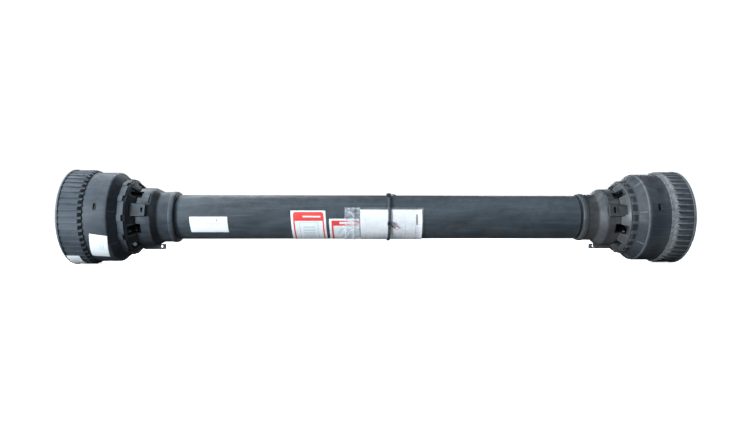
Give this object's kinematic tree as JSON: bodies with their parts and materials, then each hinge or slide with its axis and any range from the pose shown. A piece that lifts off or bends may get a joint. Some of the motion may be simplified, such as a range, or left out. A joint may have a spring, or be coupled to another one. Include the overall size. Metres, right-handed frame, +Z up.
{
  "type": "universal joint drive shaft",
  "caption": "Telescoping power take-off shaft with a universal joint and quick-release splined yoke at each end, inside a full plastic guard with ribbed bells.",
  "frame": {"origin": "middle of the shaft axis, halfway between the two bell mouths, with the shaft pushed together", "axes": "+X along the shaft towards the implement end, +Z up, the camera side is -Y"},
  "size_m": [1.03, 0.16, 0.16],
  "materials": {
    "guard_plastic": "moulded black polyethylene, dusty and scuffed",
    "nylon": "natural nylon, satin",
    "forged_steel": "forged, blued, bores machined",
    "ground_steel": "ground and hardened",
    "spring_steel": "phosphated",
    "zinc_steel": "zinc plated",
    "tube_steel": "drawn, oiled",
    "seal_rubber": "moulded nitrile",
    "nipple_brass": "turned",
    "label_film": "printed vinyl film",
    "leaflet_paper": "folded coated paper",
    "clear_film": "clear polyethylene film",
    "tie_nylon": "black nylon"
  },
  "bodies": {
    "outer_guard": {"outer_guard_tube": "guard_plastic", "tractor_collar": "guard_plastic", "tractor_cone": "guard_plastic", "tractor_bell": "guard_plastic", "tractor_bell_rim": "guard_plastic", "tractor_bearing_ring": "nylon", "tube_labels": "label_film", "bell_labels": "label_film", "instruction_leaflet": "leaflet_paper", "leaflet_sleeve": "clear_film", "cable_ties": "tie_nylon"},
    "inner_guard": {"inner_guard_tube": "guard_plastic", "implement_collar": "guard_plastic", "implement_cone": "guard_plastic", "implement_bell": "guard_plastic", "implement_bell_rim": "guard_plastic", "implement_bearing_ring": "nylon"},
    "female_shaft": {"outer_profile_tube": "tube_steel", "tractor_inner_yoke": "forged_steel", "tractor_roll_pin": "spring_steel", "tractor_inner_cups": "ground_steel", "tractor_inner_circlips": "spring_steel", "tractor_inner_needles": "ground_steel"},
    "male_shaft": {"inner_profile_tube": "tube_steel", "implement_inner_yoke": "forged_steel", "implement_roll_pin": "spring_steel", "implement_inner_cups": "ground_steel", "implement_inner_circlips": "spring_steel", "implement_inner_needles": "ground_steel"},
    "tractor_spider": {"tractor_cross": "ground_steel", "tractor_cross_seals": "seal_rubber", "tractor_grease_nipple": "nipple_brass"},
    "tractor_yoke": {"tractor_outer_yoke": "forged_steel", "tractor_outer_cups": "ground_steel", "tractor_outer_circlips": "spring_steel", "tractor_outer_needles": "ground_steel", "tractor_pin_spring": "spring_steel"},
    "tractor_pin": {"tractor_push_pin": "zinc_steel", "tractor_push_button": "zinc_steel"},
    "implement_spider": {"implement_cross": "ground_steel", "implement_cross_seals": "seal_rubber", "implement_grease_nipple": "nipple_brass"},
    "implement_yoke": {"implement_outer_yoke": "forged_steel", "implement_outer_cups": "ground_steel", "implement_outer_circlips": "spring_steel", "implement_outer_needles": "ground_steel", "implement_pin_spring": "spring_steel"},
    "implement_pin": {"implement_push_pin": "zinc_steel", "implement_push_button": "zinc_steel"}
  },
  "joints": [
    {"name": "shaft_spin", "type": "hinge", "parent": "outer_guard", "child": "female_shaft", "pos_m": [-0.43, 0, 0], "axis": [1, 0, 0], "continuous": true},
    {"name": "telescope", "type": "slide", "parent": "female_shaft", "child": "male_shaft", "axis": [1, 0, 0], "range_m": [0, 0.3]},
    {"name": "implement_guard_spin", "type": "hinge", "parent": "male_shaft", "child": "inner_guard", "pos_m": [0.43, 0, 0], "axis": [1, 0, 0], "continuous": true},
    {"name": "tractor_cross_swing", "type": "hinge", "parent": "female_shaft", "child": "tractor_spider", "pos_m": [-0.43, 0, 0], "axis": [0, 0, 1], "range_deg": [-25, 25]},
    {"name": "tractor_yoke_swing", "type": "hinge", "parent": "tractor_spider", "child": "tractor_yoke", "pos_m": [-0.43, 0, 0], "axis": [0, 1, 0], "range_deg": [-25, 25]},
    {"name": "tractor_pin_push", "type": "slide", "parent": "tractor_yoke", "child": "tractor_pin", "axis": [0, 0, -1], "range_m": [0, 0.0082], "stiffness_N_per_m": 900, "springref_m": -0.006, "deforming": ["tractor_pin_spring"]},
    {"name": "implement_cross_swing", "type": "hinge", "parent": "male_shaft", "child": "implement_spider", "pos_m": [0.43, 0, 0], "axis": [0, 0, 1], "range_deg": [-25, 25]},
    {"name": "implement_yoke_swing", "type": "hinge", "parent": "implement_spider", "child": "implement_yoke", "pos_m": [0.43, 0, 0], "axis": [0, 1, 0], "range_deg": [-25, 25]},
    {"name": "implement_pin_push", "type": "slide", "parent": "implement_yoke", "child": "implement_pin", "axis": [0, 0, -1], "range_m": [0, 0.0082], "stiffness_N_per_m": 900, "springref_m": -0.006, "deforming": ["implement_pin_spring"]}
  ]
}
